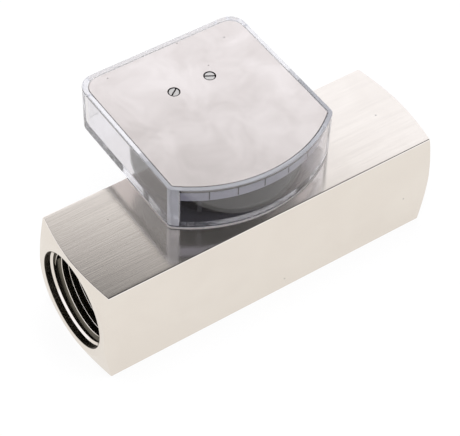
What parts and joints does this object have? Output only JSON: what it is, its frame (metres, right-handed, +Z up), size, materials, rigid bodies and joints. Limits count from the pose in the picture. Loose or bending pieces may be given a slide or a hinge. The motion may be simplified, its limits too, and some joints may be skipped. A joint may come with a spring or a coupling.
{
  "type": "variable-area flow meter",
  "caption": "Square nickel-plated bar with threaded ports; a sprung float inside drives a magnetic pointer behind the curved window of a clear box on top.",
  "frame": {"origin": "centre of the bar's flat underside", "axes": "+X along the bar from inlet to outlet, +Z up through the indicator box, +Y to the rear where the box overhangs the bar"},
  "size_m": [0.13, 0.071, 0.058],
  "materials": {
    "nickel_plated_brass": "polished nickel plate, top face lightly brushed along the bar",
    "clear_plastic": "clear moulded plastic with polished walls",
    "satin_nickel_cover": "satin nickel, faintly mottled",
    "bright_steel_screw": "bright turned steel",
    "stainless_steel": "turned",
    "mechanism_aluminium": "matt, black anodised",
    "plain_brass": "turned",
    "moulded_plastic": "moulded",
    "bush_plastic": "machined",
    "seal_rubber": "moulded",
    "magnet": "ground ferrite",
    "scale_white": "matt, pale grey",
    "scale_black": "black printing ink",
    "pointer_black": "matt black"
  },
  "bodies": {
    "meter": {"meter_body": "nickel_plated_brass", "metering_sleeve": "plain_brass", "sleeve_seal": "seal_rubber", "inlet_spider": "moulded_plastic", "outlet_spider": "moulded_plastic", "inlet_snap_ring": "stainless_steel", "outlet_snap_ring": "stainless_steel", "guide_rod": "stainless_steel", "inlet_rod_nut": "stainless_steel", "outlet_rod_nut": "stainless_steel", "rest_buffer": "seal_rubber", "stop_sleeve": "moulded_plastic", "return_spring": "stainless_steel", "indicator_box": "clear_plastic", "cover_plate": "satin_nickel_cover", "cover_screw_left": "bright_steel_screw", "cover_screw_right": "bright_steel_screw", "mechanism_plate": "mechanism_aluminium", "base_screw_1": "stainless_steel", "base_screw_2": "stainless_steel", "base_screw_3": "stainless_steel", "base_screw_4": "stainless_steel", "cover_post_left": "plain_brass", "cover_post_right": "plain_brass", "bearing_bridge": "mechanism_aluminium", "lower_bearing": "plain_brass", "upper_bearing": "plain_brass", "scale_strip": "scale_white", "scale_lines": "scale_black"},
    "float": {"float_core": "plain_brass", "float_magnet": "magnet", "magnet_nut": "plain_brass", "front_bush": "bush_plastic", "rear_bush": "bush_plastic"},
    "pointer": {"pointer_axle": "stainless_steel", "pointer_hub": "plain_brass", "pointer_arm": "pointer_black", "pointer_tip": "pointer_black", "follower_magnet": "magnet", "counterweight": "plain_brass"}
  },
  "joints": [
    {"name": "float_slide", "type": "slide", "parent": "meter", "child": "float", "axis": [1, 0, 0], "range_m": [0, 0.0296], "stiffness_N_per_m": 60, "springref_m": -0.012, "deforming": ["return_spring"]},
    {"name": "pointer_swing", "type": "hinge", "parent": "meter", "child": "pointer", "pos_m": [0, 0.0296, 0.05], "axis": [0, 0, 1], "range_deg": [0, 60.1]}
  ],
  "couplings": [
    {"joint": "pointer_swing", "follows": "float_slide", "rad_per_m": 35.378}
  ]
}
